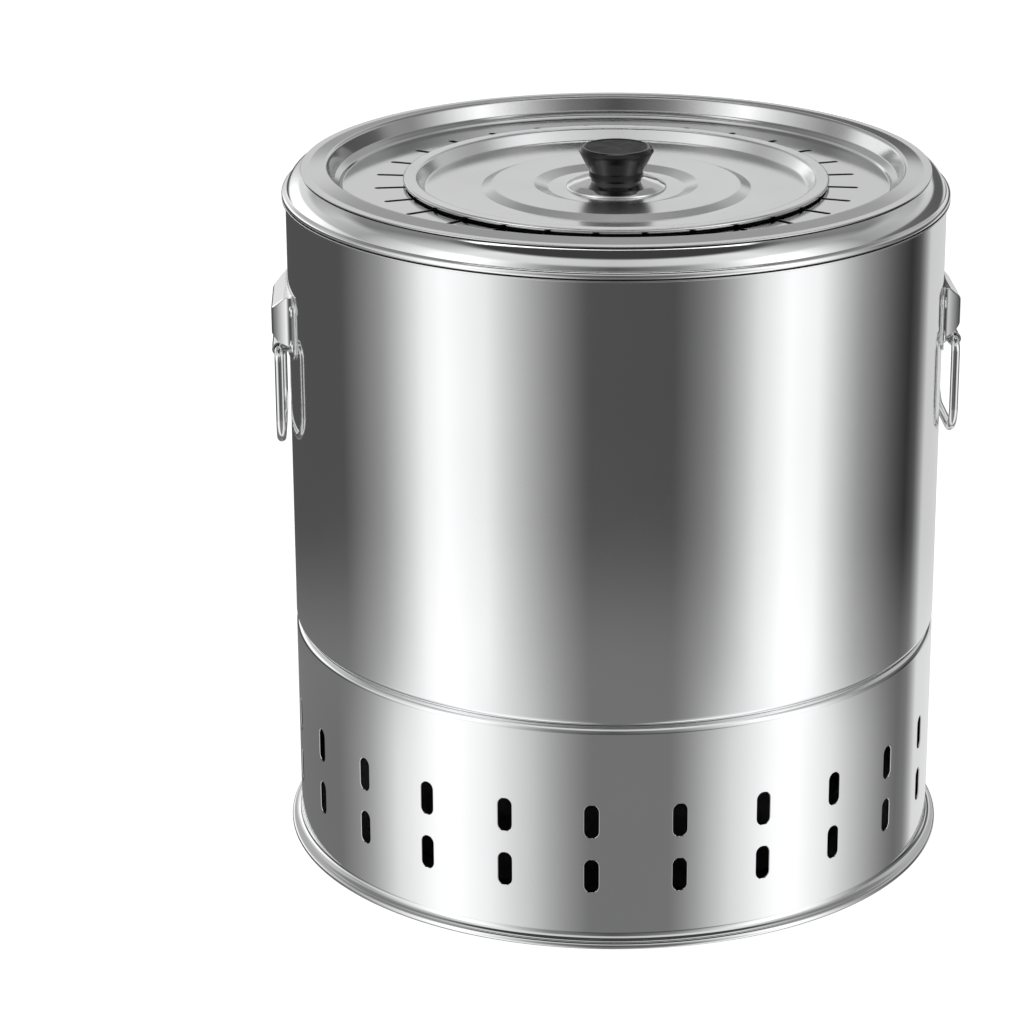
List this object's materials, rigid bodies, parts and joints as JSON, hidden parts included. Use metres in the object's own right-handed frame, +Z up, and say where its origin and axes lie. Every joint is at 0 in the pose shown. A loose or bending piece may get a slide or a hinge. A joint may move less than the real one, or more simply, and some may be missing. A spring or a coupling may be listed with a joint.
{
  "type": "bucket grill",
  "caption": "Charcoal bucket grill: a steel drum on a ventilated base, with a slotted ring that hangs skewers round a central fire, a lift-off lid with a knob, and swinging side handles.",
  "frame": {"origin": "centre of the foot, on the table", "axes": "+Z up along the bucket's axis, +X to the right-hand handle, the viewer at -Y"},
  "size_m": [0.4196, 0.4126, 0.436],
  "materials": {
    "polished_steel": "mirror polished sheet",
    "plain_steel": "mill finish sheet",
    "fire_steel": "mill finish sheet, darkened by heat",
    "chrome": "bright chrome",
    "bakelite": "gloss black moulding",
    "brass": "turned"
  },
  "bodies": {
    "base": {"base_shell": "polished_steel", "base_floor": "plain_steel", "seat_ring": "plain_steel"},
    "ash_pan": {"ash_pan": "fire_steel"},
    "air_plate": {"air_plate": "fire_steel"},
    "drip_tray": {"drip_tray": "plain_steel"},
    "basket": {"basket_wall": "fire_steel", "basket_floor": "fire_steel", "basket_lugs": "fire_steel"},
    "barrel": {"barrel_shell": "polished_steel", "mouth_collar": "polished_steel", "left_bracket": "polished_steel", "right_bracket": "polished_steel", "left_backing": "plain_steel", "right_backing": "plain_steel", "left_rivets": "polished_steel", "right_rivets": "polished_steel"},
    "left_bail": {"left_bail": "polished_steel"},
    "right_bail": {"right_bail": "polished_steel"},
    "ring": {"skewer_ring": "polished_steel"},
    "lid": {"lid_pan": "polished_steel", "knob_skirt": "chrome", "knob_grip": "bakelite", "knob_insert": "brass", "knob_screw": "plain_steel", "knob_washer": "plain_steel"}
  },
  "joints": [
    {"name": "barrel_lift", "type": "slide", "parent": "base", "child": "barrel", "axis": [0, 0, 1], "range_m": [0, 0.25]},
    {"name": "ring_lift", "type": "slide", "parent": "barrel", "child": "ring", "axis": [0, 0, 1], "range_m": [0, 0.12]},
    {"name": "lid_lift", "type": "slide", "parent": "ring", "child": "lid", "axis": [0, 0, 1], "range_m": [0, 0.12]},
    {"name": "left_bail_swing", "type": "hinge", "parent": "barrel", "child": "left_bail", "pos_m": [-0.20545, 0, 0.32], "axis": [0, 1, 0], "range_deg": [0, 165]},
    {"name": "right_bail_swing", "type": "hinge", "parent": "barrel", "child": "right_bail", "pos_m": [0.20545, 0, 0.32], "axis": [0, -1, 0], "range_deg": [0, 165]},
    {"name": "ash_pan_lift", "type": "slide", "parent": "base", "child": "ash_pan", "axis": [0, 0, 1], "range_m": [0, 0.08]},
    {"name": "air_plate_lift", "type": "slide", "parent": "base", "child": "air_plate", "axis": [0, 0, 1], "range_m": [0, 0.04]},
    {"name": "drip_tray_lift", "type": "slide", "parent": "air_plate", "child": "drip_tray", "axis": [0, 0, 1], "range_m": [0, 0.12]},
    {"name": "basket_lift", "type": "slide", "parent": "air_plate", "child": "basket", "axis": [0, 0, 1], "range_m": [0, 0.07]}
  ]
}
